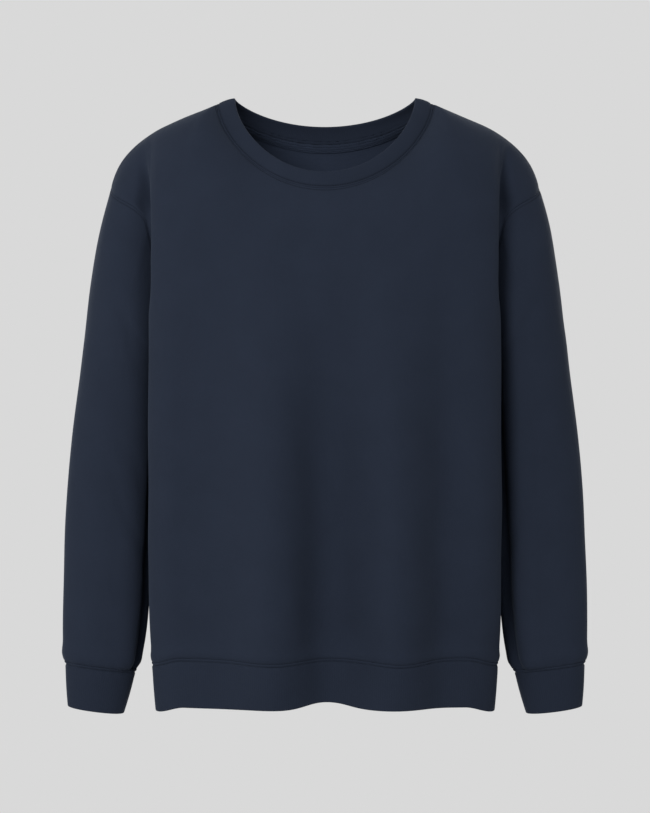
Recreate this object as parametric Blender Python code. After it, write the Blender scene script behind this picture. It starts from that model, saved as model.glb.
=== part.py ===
"""Crewneck sweatshirt in the hollow shape that it has when worn, with no wearer inside.

It is cut and sewn from nine pieces, and each one is a cloth wall of its own: front, back, two sleeves, a ribbed
neckband, a ribbed hem band, two ribbed cuffs and the tape inside the back neck. The outer face of each piece is a net
of points worked out from the sizes below. Pieces that are sewn together share their seam points, so their walls take
the same direction there, and each piece then draws back a little from its seams.

Metres. +X is the wearer's left, -Y the front, +Z up. The origin lies midway between the two neck points, where the
shoulder seams meet the neckband.
"""

import math
from collections import namedtuple

import bmesh
import bpy
import numpy as np

# Cloth
FLEECE = 0.0020  # brushed fleece of the body and sleeves
RIB_FOLDED = 0.0030  # rib knit, folded double
TAPE = 0.0010
SEAM_GAP = 0.0004  # between the walls of two pieces, along their seam
EDGE_ROUNDING = 0.55  # share of a folded rib's thickness left at its free edge

# Net of each piece
NECK_COLUMNS = 8  # from the centre line to the neck point
CHEST_COLUMNS = 4  # from the neck point to the side fold
FOLD_COLUMNS = 4  # from the side fold to the side seam or the armhole
SIDE_ROWS = 9  # from the hem seam to the armpit
ARMHOLE_ROWS = 5  # from the armpit to the level where the shoulder begins
SHOULDER_ROWS = 6  # from there to the shoulder seam
BAND_ROWS = 3
SLEEVE_ROWS_PER_SECTION = 2
COLUMNS = NECK_COLUMNS + CHEST_COLUMNS + FOLD_COLUMNS
FOLD_COLUMN = NECK_COLUMNS + CHEST_COLUMNS
ARMHOLE_STEPS = ARMHOLE_ROWS + SHOULDER_ROWS

# Body: a row for each level section, from the hem seam up. The side folds are where the body is widest, and between
# them the side is drawn in to the side seam, behind which the sleeve hangs.
Torso = namedtuple("Torso", "height half_width front back front_fold back_fold side_x side_y squareness")
TORSO = (
    Torso(-0.642, 0.1970, -0.090, 0.083, -0.024, 0.030, 0.1965, 0.004, 2.20),
    Torso(-0.600, 0.1990, -0.094, 0.087, -0.032, 0.040, 0.1920, 0.008, 2.30),
    Torso(-0.520, 0.2000, -0.098, 0.091, -0.038, 0.053, 0.1855, 0.013, 2.45),
    Torso(-0.430, 0.2000, -0.101, 0.094, -0.042, 0.061, 0.1800, 0.016, 2.55),
    Torso(-0.340, 0.1997, -0.104, 0.097, -0.045, 0.065, 0.1760, 0.018, 2.60),
    Torso(-0.278, 0.1992, -0.106, 0.098, -0.047, 0.066, 0.1765, 0.018, 2.60),
    Torso(-0.211, 0.1985, -0.105, 0.097, -0.048, 0.065, 0.1765, 0.018, 2.55),
    Torso(-0.144, 0.1985, -0.100, 0.091, -0.047, 0.061, 0.1765, 0.018, 2.50),
)
HEM_SEAM_Z = TORSO[0].height
ARMPIT_Z = -0.278
SHOULDER_Z = TORSO[-1].height  # above it the cloth turns over the shoulder
CENTRE_DIP = 0.046  # the shoulder zone begins this much lower on the centre line
NECK_COLUMN_SHARE = 0.85  # half-width share of the column that runs up to the neck point
NET_SQUARENESS = 2.5

# Armhole, from the armpit to the shoulder zone: where it leaves the body, and how it turns
Armhole = namedtuple("Armhole", "turn_x turn_y lean round")
ARMHOLE = {
    "front": Armhole(0.2020, -0.030, 1.1, 0.5),
    "back": Armhole(0.2045, 0.047, 0.9, 0.5),
}
TURN_LATENESS = 1.4  # the cloth turns out to the sleeve mostly near the shoulder
HOLLOW = (0.25, 0.75)  # the drawn-in side is steep next to its fold, and broad at the side seam
ARMHOLE_CROWDING = 1.15  # rows lie closer together near the armpit
SHOULDER_CROWDING = 1.35  # and near the neckline and the shoulder seam

# Shoulder seam, from the neck point to the shoulder tip, as the four points of a Bezier curve
SHOULDER_SEAM = ((0.1245, 0.004, 0.000), (0.175, 0.007, -0.0225), (0.236, 0.010, -0.037), (0.247, 0.012, -0.095))
SHOULDER_SLOPE = -0.42  # of the cloth beside the shoulder seam
LEAN_IN = 1.9  # how late the columns lean in to the neck

# Neckline seam and the neckband's free edge: the half-width, the depth and the drop at the centre line
Neckline = namedtuple("Neckline", "half_width side_y centre_y side_z centre_z sweep")
NECK_SEAM = {
    "front": Neckline(0.1245, 0.004, -0.089, 0.000, -0.1045, 1.25),
    "back": Neckline(0.1245, 0.004, 0.062, 0.000, -0.0413, 1.75),
}
NECK_EDGE = {
    "front": Neckline(0.1035, 0.003, -0.086, 0.0072, -0.0855, 1.22),
    "back": Neckline(0.1035, 0.003, 0.057, 0.0072, -0.0195, 1.60),
}
NECKBAND_CROWN = 0.0012  # the band swells this much between its edges
TOP_TURN = {"front": (46, 90), "back": (55, 90)}  # degrees turned at the neckline's centre, and at the shoulder seam
ARMHOLE_RISE = 0.55  # the armhole's seam rises early and slants over the shoulder: the power of its height

# Hem band
HEM_HEIGHT = 0.0522
HEM_DRAW_IN = 0.020  # share by which its free edge is narrower than its seam
HEM_MIDDLE_Y = 0.004
FRONT_RISE = 0.0072  # the hem rises this much from the sides to the centre front

# Sleeve: a row for each section, from just under the armhole to the cuff seam
Sleeve = namedtuple("Sleeve", "outer_x outer_z inner_x inner_z middle_y half_depth")
SLEEVE = (
    Sleeve(0.2610, -0.148, 0.1880, -0.288, 0.015, 0.052),
    Sleeve(0.2700, -0.203, 0.1905, -0.303, 0.018, 0.053),
    Sleeve(0.2775, -0.260, 0.1918, -0.326, 0.019, 0.050),
    Sleeve(0.2850, -0.320, 0.1930, -0.358, 0.019, 0.046),
    Sleeve(0.2932, -0.386, 0.1950, -0.406, 0.018, 0.042),
    Sleeve(0.2980, -0.442, 0.1970, -0.455, 0.016, 0.039),
    Sleeve(0.3012, -0.510, 0.1998, -0.518, 0.014, 0.036),
    Sleeve(0.3025, -0.572, 0.2025, -0.578, 0.012, 0.034),
    Sleeve(0.3020, -0.622, 0.2085, -0.628, 0.010, 0.032),
    Sleeve(0.2992, -0.644, 0.2187, -0.654, 0.009, 0.029),
)
CUFF_EDGE = Sleeve(0.2965, -0.6930, 0.2318, -0.7015, 0.007, 0.0250)
SLEEVE_SQUARENESS = 2.1

# Tape inside the back neck
TAPE_WIDTH = 0.0085
TAPE_LIFT = 0.0006  # between the tape and the cloth under it

# Soft upright folds: a row for each, with its centre, half-width, height (out is positive), top, and how far it
# lowers the hem seam and shortens the band below it
Fold = namedtuple("Fold", "centre width height top seam_drop band_loss")
FOLDS = {
    "front": (
        Fold(-0.063, 0.036, 0.0115, -0.17, 0.0025, 0.0032),
        Fold(0.001, 0.030, -0.0100, -0.22, -0.0008, 0.0066),
        Fold(0.086, 0.032, 0.0105, -0.17, 0.0036, 0.0038),
        Fold(0.134, 0.026, -0.0055, -0.26, 0.0000, 0.0000),
        Fold(-0.132, 0.032, -0.0030, -0.20, 0.0000, 0.0000),
    ),
    "back": (
        Fold(-0.112, 0.030, -0.0050, -0.30, 0.0000, 0.0000),
        Fold(-0.052, 0.034, 0.0090, -0.20, 0.0015, 0.0010),
        Fold(0.018, 0.030, -0.0085, -0.24, -0.0030, 0.0040),
        Fold(0.080, 0.036, 0.0100, -0.18, 0.0020, 0.0010),
        Fold(0.136, 0.026, -0.0045, -0.28, 0.0000, 0.0000),
    ),
}
FOLD_REACH = (0.162, 0.197)  # folds fade out between these distances from the centre line
HEM_REACH = 0.10  # the hem's rise and drop fade out this far above its seam

NAVY = (0.0168, 0.0222, 0.0356, 1.0)
NAVY_RIB = (0.0150, 0.0202, 0.0325, 1.0)

# A net of points, the side of it that faces out, the smooth surface that it belongs to, and which of its rows and
# columns are sewn to another piece
Piece = namedtuple("Piece", "net facing surface sewn_rows sewn_columns")


def through(stations, values, at):
    """A smooth curve through the values at the stations, read at one place."""
    stations, values = np.asarray(stations, float), np.asarray(values, float)
    slopes = np.gradient(values, stations, axis=0)
    i = int(np.clip(np.searchsorted(stations, at) - 1, 0, len(stations) - 2))
    span = stations[i + 1] - stations[i]
    t = np.clip((at - stations[i]) / span, 0.0, 1.0)
    rise = values[i + 1] - values[i]
    bend = (1 - t) * (slopes[i] * span - rise) - t * (slopes[i + 1] * span - rise)
    return values[i] + t * rise + t * (1 - t) * bend


def bezier(points, t):
    a, b, c, d = (np.asarray(p, float) for p in points)
    return (1 - t) ** 3 * a + 3 * t * (1 - t) ** 2 * b + 3 * t * t * (1 - t) * c + t**3 * d


def ease(t):
    t = np.clip(t, 0.0, 1.0)
    return t * t * (3 - 2 * t)


def torso_at(height):
    return Torso(*through([row.height for row in TORSO], TORSO, height))


def column_angle(column):
    """The angle round the body's oval of a column between the centre line and the side fold."""
    neck_angle = math.asin(NECK_COLUMN_SHARE ** (NET_SQUARENESS / 2))
    if column <= NECK_COLUMNS:
        return math.asin((NECK_COLUMN_SHARE * column / NECK_COLUMNS) ** (NET_SQUARENESS / 2))
    return neck_angle + (math.pi / 2 - neck_angle) * (column - NECK_COLUMNS) / CHEST_COLUMNS


def armhole_share(height):
    return max(0.0, (height - ARMPIT_Z) / (SHOULDER_Z - ARMPIT_Z))


def seam_point(side, height):
    """(x, y) of the side seam below the armpit, and of the armhole above it."""
    body = torso_at(min(height, ARMPIT_Z))
    share, turn = armhole_share(height), ARMHOLE[side]
    x = body.side_x + (turn.turn_x - body.side_x) * share**turn.lean
    return x, body.side_y + (turn.turn_y - body.side_y) * share**turn.round


def section_point(side, column, height):
    """A point of the body's level section on the wearer's left: an oval to the side fold, and a turn to the seam."""
    body = torso_at(height)
    fold_y, centre_y = (body.front_fold, body.front) if side == "front" else (body.back_fold, body.back)
    if column <= FOLD_COLUMN:
        angle, power = column_angle(column), 2 / body.squareness
        x = body.half_width * math.sin(angle) ** power
        y = fold_y + (centre_y - fold_y) * max(0.0, math.cos(angle)) ** power
        return np.array([x, y, height])
    seam_x, seam_y = seam_point(side, height)
    span, share = seam_y - fold_y, armhole_share(height)
    turn = math.pi / 2 * share**TURN_LATENESS
    arrive = abs(span) * (HOLLOW[1] + (HOLLOW[0] - HOLLOW[1]) * share)
    onward = math.copysign(1.0, span)
    flat = bezier(
        (
            (body.half_width, fold_y),
            (body.half_width, fold_y + HOLLOW[0] * span),
            (seam_x - arrive * math.sin(turn), seam_y - onward * arrive * math.cos(turn)),
            (seam_x, seam_y),
        ),
        (column - FOLD_COLUMN) / FOLD_COLUMNS,
    )
    return np.array([*flat, height])


def neckline_point(line, turn):
    """A point of a neckline: turn is 0 at the centre line and 1 at the neck point."""
    angle = turn * math.pi / 2
    drop = max(0.0, math.cos(angle)) ** line.sweep
    y = line.side_y + (line.centre_y - line.side_y) * math.cos(angle)
    return np.array([line.half_width * math.sin(angle), y, line.side_z + (line.centre_z - line.side_z) * drop])


def top_point(side, column):
    """Where a column ends: on the neckline, or on the shoulder seam."""
    if column <= NECK_COLUMNS:
        return neckline_point(NECK_SEAM[side], column / NECK_COLUMNS)
    return bezier(SHOULDER_SEAM, (column - NECK_COLUMNS) / (COLUMNS - NECK_COLUMNS))


def over_shoulder(side, column, start):
    """The rest of a column: from its start it turns in over the shoulder or the chest, to its top."""
    top = top_point(side, column)
    centre_turn, shoulder_turn = (math.radians(turn) for turn in TOP_TURN[side])
    full_turn = centre_turn + (shoulder_turn - centre_turn) * ease(column / (NECK_COLUMNS + 1))
    rounding = ease((column - FOLD_COLUMN) / FOLD_COLUMNS)
    slope = SHOULDER_SLOPE * min(1.0, column / NECK_COLUMNS) ** 2
    level_rise = (top[2] - start[2]) - slope * (top[0] - start[0])
    points = []
    for row in range(1, SHOULDER_ROWS + 1):
        share = 1 - (1 - row / SHOULDER_ROWS) ** SHOULDER_CROWDING
        angle = full_turn * share
        inward = (1 - math.cos(angle)) / (1 - math.cos(full_turn))
        upward = math.sin(angle) / math.sin(full_turn)
        upward += rounding * (share**ARMHOLE_RISE - upward)
        outward = share + rounding * (math.sin(math.pi / 2 * share) - share)
        across = (top[0] - start[0]) * (outward if top[0] > start[0] else share**LEAN_IN)
        points.append(start + [across, (top[1] - start[1]) * inward, level_rise * upward + slope * across])
    return points


def column_points(side, column):
    """The points of one column, from the hem seam to its top."""
    start_z = SHOULDER_Z - CENTRE_DIP * max(0.0, 1 - column / FOLD_COLUMN)
    low = [HEM_SEAM_Z + (ARMPIT_Z - HEM_SEAM_Z) * row / SIDE_ROWS for row in range(SIDE_ROWS)]
    middle = [
        ARMPIT_Z + (start_z - ARMPIT_Z) * (row / ARMHOLE_ROWS) ** ARMHOLE_CROWDING for row in range(ARMHOLE_ROWS + 1)
    ]
    points = [section_point(side, column, z) for z in low + middle]
    return np.array(points + over_shoulder(side, column, points[-1]))


def folded(side, points):
    """The points with the soft folds pushed out or in, and the hem raised and lowered by them."""
    points = points.copy()
    x, z = points[..., 0], points[..., 2]
    near, far = FOLD_REACH
    across = 1 - ease((abs(x) - near) / (far - near))
    hem = 1 - ease((z - HEM_SEAM_Z) / HEM_REACH)
    outward = -1.0 if side == "front" else 1.0
    lift = FRONT_RISE * across * hem
    for fold in FOLDS[side]:
        shape = np.exp(-(((x - fold.centre) / fold.width) ** 2)) * across
        points[..., 1] += outward * fold.height * shape * ease((fold.top - z) / (fold.top - HEM_SEAM_Z))
        lift = lift - fold.seam_drop * shape * hem
    points[..., 2] += lift
    return points


def body_net(side):
    """Rows from the hem seam up, columns from the wearer's right to the left."""
    half = np.stack([column_points(side, column) for column in range(COLUMNS + 1)], axis=1)
    mirrored = half[:, :0:-1] * [-1, 1, 1]
    return folded(side, np.concatenate([mirrored, half], axis=1))


def armhole_ring(front, back):
    """The sleeve's first ring: down the front of the armhole from the shoulder tip, and up the back."""
    down, up = front[SIDE_ROWS:, -1][::-1], back[SIDE_ROWS:, -1]
    return np.concatenate([down, up[1:]])


def sleeve_ring(section, steps):
    """A closed ring in the slanting plane of one sleeve section, from its outer line round by the front."""
    outer = np.array([section.outer_x, section.middle_y, section.outer_z])
    inner = np.array([section.inner_x, section.middle_y, section.inner_z])
    ring = []
    for step in range(steps + 1):
        angle = 2 * math.pi * step / steps
        across = math.copysign(abs(math.cos(angle)) ** (2 / SLEEVE_SQUARENESS), math.cos(angle))
        depth = math.copysign(abs(math.sin(angle)) ** (2 / SLEEVE_SQUARENESS), math.sin(angle))
        ring.append((outer + inner) / 2 + (outer - inner) / 2 * across + [0, -section.half_depth * depth, 0])
    return np.array(ring)


def sleeve_net(front, back):
    """Rows from the armhole down to the cuff seam, on the wearer's left."""
    rings = [armhole_ring(front, back)] + [sleeve_ring(section, 2 * ARMHOLE_STEPS) for section in SLEEVE]
    stations = range(len(rings))
    count = (len(rings) - 1) * SLEEVE_ROWS_PER_SECTION
    return np.array([through(stations, rings, row / SLEEVE_ROWS_PER_SECTION) for row in range(count + 1)])


def band_net(seam, edge, crown=0.0):
    """Rows across a band, from its seam to its free edge, swelling by crown between them."""
    rows = []
    middle = (seam + edge).mean(axis=0) / 2
    for row in range(BAND_ROWS + 1):
        share = row / BAND_ROWS
        ring = seam + (edge - seam) * share
        out = ring - middle
        out[:, 2] = 0
        out /= np.maximum(np.linalg.norm(out, axis=1, keepdims=True), 1e-9)
        rows.append(ring + out * crown * math.sin(math.pi * share))
    return np.array(rows)


def hem_seam_ring(front, back):
    return np.concatenate([front[0], back[0][::-1][1:]])


def hem_edge_ring(seam):
    edge = seam * [1 - HEM_DRAW_IN, 1 - HEM_DRAW_IN, 1]
    edge[:, 2] -= HEM_HEIGHT
    for point in edge:
        for fold in FOLDS["front" if point[1] < HEM_MIDDLE_Y else "back"]:
            point[2] += fold.band_loss * math.exp(-(((point[0] - fold.centre) / fold.width) ** 2))
    return edge


def neck_ring(lines):
    turns = [column / NECK_COLUMNS for column in range(NECK_COLUMNS + 1)]
    front = [neckline_point(lines["front"], turn) for turn in turns]
    back = [neckline_point(lines["back"], turn) for turn in turns[::-1]]
    left = np.array(front + back[1:])
    right = left[::-1][1:] * [-1, 1, 1]
    return np.concatenate([left, right])


def unit(vectors):
    return vectors / np.maximum(np.linalg.norm(vectors, axis=-1, keepdims=True), 1e-12)


def seam_key(point):
    return tuple(np.round(point, 6) + 0.0)


def group_normals(pieces):
    """The outward direction at each point of the pieces that make one smooth surface together."""
    total = {}
    for net, facing, *_ in pieces:
        quads = np.cross(net[1:, 1:] - net[:-1, :-1], net[1:, :-1] - net[:-1, 1:]) * facing
        for r, c in np.ndindex(quads.shape[:2]):
            for corner in (net[r, c], net[r, c + 1], net[r + 1, c], net[r + 1, c + 1]):
                total[seam_key(corner)] = total.get(seam_key(corner), 0) + quads[r, c]
    return {key: unit(normal) for key, normal in total.items()}


def shared_normals(pieces):
    """The outward direction at each point of each piece. Surfaces that meet at a seam share the mean of theirs."""
    mean = {}
    for surface in sorted({piece.surface for piece in pieces.values()}):
        for key, normal in group_normals([piece for piece in pieces.values() if piece.surface == surface]).items():
            mean[key] = mean.get(key, 0) + normal
    found = {}
    for name, piece in pieces.items():
        found[name] = unit(np.array([[mean[seam_key(point)] for point in row] for row in piece.net]))
    return found


def drawn_back(net, normals, facing, sewn_rows, sewn_columns):
    """The net with its sewn edges drawn back, square to the seam and to the cloth's direction there."""
    closed = np.allclose(net[:, 0], net[:, -1])
    made = net.copy()
    for row in sewn_rows:
        along = np.gradient(net[row], axis=0)
        if closed:
            along[0] = along[-1] = net[row, 1] - net[row, -2]
        inside = facing if row == 0 else -facing
        made[row] += unit(np.cross(normals[row], along)) * inside * SEAM_GAP / 2
    for column in sewn_columns:
        along = np.gradient(net[:, column], axis=0)
        inside = facing if column == 0 else -facing
        made[:, column] += unit(np.cross(along, normals[:, column])) * inside * SEAM_GAP / 2
    return made


def cloth(name, outer, inner, material):
    """A closed wall between two nets: a grid laid on the outer one, extruded, and the copy laid on the inner one."""
    rows, columns = outer.shape[:2]
    bm = bmesh.new()
    place = bm.verts.layers.int.new("place")
    bmesh.ops.create_grid(bm, x_segments=columns - 1, y_segments=rows - 1, size=1)
    bm.verts.ensure_lookup_table()
    outer_points, inner_points = outer.reshape(-1, 3), inner.reshape(-1, 3)
    for index, vertex in enumerate(bm.verts):
        vertex[place] = index
        vertex.co = outer_points[index]
    bmesh.ops.remove_doubles(bm, verts=bm.verts, dist=1e-6)
    skin = bmesh.ops.extrude_face_region(bm, geom=bm.faces[:])
    for element in skin["geom"]:
        if isinstance(element, bmesh.types.BMVert):
            element.co = inner_points[element[place]]
    bmesh.ops.recalc_face_normals(bm, faces=bm.faces)
    mesh = bpy.data.meshes.new(name)
    bm.to_mesh(mesh)
    bm.free()
    mesh.materials.append(material)
    mesh.shade_smooth()
    mesh.set_sharp_from_angle(angle=math.radians(50))
    made = bpy.data.objects.new(name, mesh)
    bpy.data.collections["Sweatshirt"].objects.link(made)
    return made


def knit(name, colour, roughness):
    material = bpy.data.materials.new(name)
    material.use_nodes = True
    shader = material.node_tree.nodes["Principled BSDF"]
    shader.inputs["Base Color"].default_value = colour
    shader.inputs["Roughness"].default_value = roughness
    shader.inputs["Metallic"].default_value = 0.0
    return material


def mirrored_net(net):
    return net * [-1, 1, 1]


def tape_nets(back, normals):
    """The tape's outer and inner nets, laid on the inner face of the back just under the neckline."""
    neck = slice(COLUMNS - NECK_COLUMNS + 1, COLUMNS + NECK_COLUMNS)
    row_height = np.linalg.norm(back[-2, neck] - back[-1, neck], axis=1)
    outer, inner = [], []
    for down in (0.0, TAPE_WIDTH / 2, TAPE_WIDTH):
        share = (down / row_height)[:, None]
        point = back[-1, neck] + (back[-2, neck] - back[-1, neck]) * share
        facing = normals[-1, neck] + (normals[-2, neck] - normals[-1, neck]) * share
        outer.append(point - facing * (FLEECE + TAPE_LIFT))
        inner.append(point - facing * (FLEECE + TAPE_LIFT + TAPE))
    return np.array(outer), np.array(inner)


def build():
    for old in list(bpy.data.objects):
        bpy.data.objects.remove(old, do_unlink=True)
    collection = bpy.data.collections.new("Sweatshirt")
    bpy.context.scene.collection.children.link(collection)
    fleece = knit("navy_fleece", NAVY, 0.9)
    rib = knit("navy_rib", NAVY_RIB, 0.9)

    front, back = body_net("front"), body_net("back")
    left_sleeve = sleeve_net(front, back)
    right_sleeve = mirrored_net(sleeve_net(mirrored_net(front)[:, ::-1], mirrored_net(back)[:, ::-1]))
    left_cuff = band_net(left_sleeve[-1], sleeve_ring(CUFF_EDGE, 2 * ARMHOLE_STEPS))
    right_cuff = band_net(right_sleeve[-1], mirrored_net(sleeve_ring(CUFF_EDGE, 2 * ARMHOLE_STEPS)))
    hem_seam = hem_seam_ring(front, back)
    hem = band_net(hem_seam, hem_edge_ring(hem_seam))
    neck = band_net(neck_ring(NECK_SEAM), neck_ring(NECK_EDGE), NECKBAND_CROWN)

    pieces = {
        "front": Piece(front, 1, "body", (0, -1), (0, -1)),
        "back": Piece(back, -1, "body", (0, -1), (0, -1)),
        "sleeve_left": Piece(left_sleeve, 1, "sleeve_left", (0, -1), ()),
        "sleeve_right": Piece(right_sleeve, -1, "sleeve_right", (0, -1), ()),
        "neckband": Piece(neck, 1, "neckband", (0,), ()),
        "hem_band": Piece(hem, -1, "hem_band", (0,), ()),
        "cuff_left": Piece(left_cuff, 1, "cuff_left", (0,), ()),
        "cuff_right": Piece(right_cuff, -1, "cuff_right", (0,), ()),
    }
    normals = shared_normals(pieces)
    walls = {}
    for name, piece in pieces.items():
        folded_rib = name in ("neckband", "hem_band", "cuff_left", "cuff_right")
        walls[name] = drawn_back(piece.net, normals[name], piece.facing, piece.sewn_rows, piece.sewn_columns)
        thickness = np.full(piece.net.shape[:2] + (1,), RIB_FOLDED if folded_rib else FLEECE)
        if folded_rib:
            thickness[0] = FLEECE
            thickness[-1] *= EDGE_ROUNDING
        cloth(name, walls[name], walls[name] - normals[name] * thickness, rib if folded_rib else fleece)

    cloth("neck_tape", *tape_nets(walls["back"], normals["back"]), fleece)


build()
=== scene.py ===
# %% [markdown]
# # A crewneck sweatshirt, filled out as worn
#
# This lesson dresses a plain frame of nine cloth walls: front, back, two sleeves, a ribbed neckband, a
# ribbed hem band, two ribbed cuffs and the tape inside the back neck. The frame has the right sizes, but
# coarse faces and bare seams. Here each piece is made again in fine cloth, with its folds, its rolled
# seams, its stitches and its knit.

# %% Load the frame
import math
from collections import namedtuple

import bmesh
import bpy
import numpy as np
from mathutils import Matrix, Vector


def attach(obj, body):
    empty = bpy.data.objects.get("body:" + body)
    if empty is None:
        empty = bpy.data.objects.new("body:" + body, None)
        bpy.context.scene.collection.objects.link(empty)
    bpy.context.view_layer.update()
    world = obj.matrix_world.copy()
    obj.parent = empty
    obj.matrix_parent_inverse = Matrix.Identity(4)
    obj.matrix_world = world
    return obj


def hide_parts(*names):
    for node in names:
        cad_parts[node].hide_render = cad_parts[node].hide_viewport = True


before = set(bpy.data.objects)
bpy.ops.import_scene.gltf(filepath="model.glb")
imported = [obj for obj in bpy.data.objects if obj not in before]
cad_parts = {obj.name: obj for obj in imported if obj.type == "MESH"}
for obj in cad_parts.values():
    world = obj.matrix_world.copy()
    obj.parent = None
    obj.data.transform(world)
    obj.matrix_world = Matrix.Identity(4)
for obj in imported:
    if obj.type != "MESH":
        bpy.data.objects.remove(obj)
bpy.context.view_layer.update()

# %% [markdown]
# ## Cloth and seams
#
# The body and sleeves are brushed fleece, 2 mm thick. The bands are rib knit folded double. All sizes are
# in metres, +X is the wearer's left, -Y the front and +Z up, as in the frame. Two pieces that are sewn
# together stop a hair apart, which reads as the dark line of a real seam, and keeps them from cutting
# into each other.

# %% Sizes of the cloth
FLEECE = 0.0020
RIB_FOLDED = 0.0030
TAPE = 0.0010
SEAM_GAP = 0.0003
print("walls, in millimetres: fleece", 1000 * FLEECE, "folded rib", 1000 * RIB_FOLDED, "tape", 1000 * TAPE)

# %% [markdown]
# ## The body as level sections
#
# A worn sweatshirt is an oval tube, wider than it is deep. A table with one row for each level section is
# easy to read and to correct. Between the side folds, where the body is widest, the cloth turns in to the
# side seam, and the sleeve hangs in that hollow. Each point of a panel has a column, counted from the
# centre line to the side seam, and a row, counted from the hem seam up, and both may be fractions, so a
# net can be as fine as the cloth needs.

# %% Tables of the body, and a smooth curve through a table
Torso = namedtuple("Torso", "height half_width front back front_fold back_fold side_x side_y squareness")
TORSO = (
    Torso(-0.642, 0.1970, -0.090, 0.083, -0.024, 0.030, 0.1965, 0.004, 2.20),
    Torso(-0.600, 0.1990, -0.094, 0.087, -0.032, 0.040, 0.1920, 0.008, 2.30),
    Torso(-0.520, 0.2000, -0.098, 0.091, -0.038, 0.053, 0.1855, 0.013, 2.45),
    Torso(-0.430, 0.2000, -0.101, 0.094, -0.042, 0.061, 0.1800, 0.016, 2.55),
    Torso(-0.340, 0.1997, -0.104, 0.097, -0.045, 0.065, 0.1760, 0.018, 2.60),
    Torso(-0.278, 0.1992, -0.106, 0.098, -0.047, 0.066, 0.1765, 0.018, 2.60),
    Torso(-0.211, 0.1985, -0.105, 0.097, -0.048, 0.065, 0.1765, 0.018, 2.55),
    Torso(-0.144, 0.1985, -0.100, 0.091, -0.047, 0.061, 0.1765, 0.018, 2.50),
)
HEM_SEAM_Z = TORSO[0].height
ARMPIT_Z = -0.278
SHOULDER_Z = TORSO[-1].height
NECK_COLUMNS, CHEST_COLUMNS, FOLD_COLUMNS = 8, 4, 4
SIDE_ROWS, ARMHOLE_ROWS, SHOULDER_ROWS = 9, 5, 6
FOLD_COLUMN = NECK_COLUMNS + CHEST_COLUMNS
COLUMNS = FOLD_COLUMN + FOLD_COLUMNS
ROWS = SIDE_ROWS + ARMHOLE_ROWS + SHOULDER_ROWS


def through(stations, values, at):
    """Smooth curves through the values at the stations, read at every place in at."""
    stations, values, at = (np.asarray(part, float) for part in (stations, values, at))
    slopes = np.gradient(values, stations, axis=0)
    i = np.clip(np.searchsorted(stations, at) - 1, 0, len(stations) - 2)
    deep = at.shape + (1,) * (values.ndim - 1)
    span = (stations[i + 1] - stations[i]).reshape(deep)
    t = np.clip((at - stations[i]).reshape(deep) / span, 0.0, 1.0)
    rise = values[i + 1] - values[i]
    bend = (1 - t) * (slopes[i] * span - rise) - t * (slopes[i + 1] * span - rise)
    return values[i] + t * rise + t * (1 - t) * bend


def bezier(points, t):
    a, b, c, d = (np.asarray(p, float) for p in points)
    t = np.asarray(t, float)[..., None]
    return (1 - t) ** 3 * a + 3 * t * (1 - t) ** 2 * b + 3 * t * t * (1 - t) * c + t**3 * d


def ease(t):
    t = np.clip(t, 0.0, 1.0)
    return t * t * (3 - 2 * t)


def unit(vectors):
    return vectors / np.maximum(np.linalg.norm(vectors, axis=-1, keepdims=True), 1e-12)


print("body table:", len(TORSO), "sections from", HEM_SEAM_Z, "to", SHOULDER_Z, "m")

# %% [markdown]
# ## Armholes, shoulders and neck
#
# Above the armpit the side edge of a panel is its armhole. The cloth swings out to it, and over the top
# the columns turn in: to the neckline near the middle, and to the shoulder seam further out. The shoulder
# seam is a Bezier curve, the easiest way to draw one soft line in space with four points.

# %% Sections, armholes and shoulders
Armhole = namedtuple("Armhole", "turn_x turn_y lean round")
ARMHOLE = {"front": Armhole(0.2020, -0.030, 1.1, 0.5), "back": Armhole(0.2045, 0.047, 0.9, 0.5)}
TURN_LATENESS = 1.4
HOLLOW = (0.25, 0.75)
ARMHOLE_CROWDING, SHOULDER_CROWDING = 1.15, 1.35
CENTRE_DIP = 0.046
NECK_COLUMN_SHARE = 0.85
NET_SQUARENESS = 2.5
SHOULDER_SEAM = (
    (0.1245, 0.004, 0.000),
    (0.1750, 0.007, -0.0225),
    (0.2360, 0.010, -0.037),
    (0.2470, 0.012, -0.095),
)
SHOULDER_SLOPE = -0.42
LEAN_IN = 1.9
TOP_TURN = {"front": (46, 90), "back": (55, 90)}
ARMHOLE_RISE = 0.55

Neckline = namedtuple("Neckline", "half_width side_y centre_y side_z centre_z sweep")
NECK_SEAM = {
    "front": Neckline(0.1245, 0.004, -0.089, 0.000, -0.1045, 1.25),
    "back": Neckline(0.1245, 0.004, 0.062, 0.000, -0.0413, 1.75),
}
NECK_EDGE = {
    "front": Neckline(0.1035, 0.003, -0.086, 0.0072, -0.0855, 1.22),
    "back": Neckline(0.1035, 0.003, 0.057, 0.0072, -0.0195, 1.60),
}


def torso_at(height):
    """The body's row at any height."""
    rows = through([row.height for row in TORSO], TORSO, height)
    return Torso(*np.moveaxis(rows, -1, 0))


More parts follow.
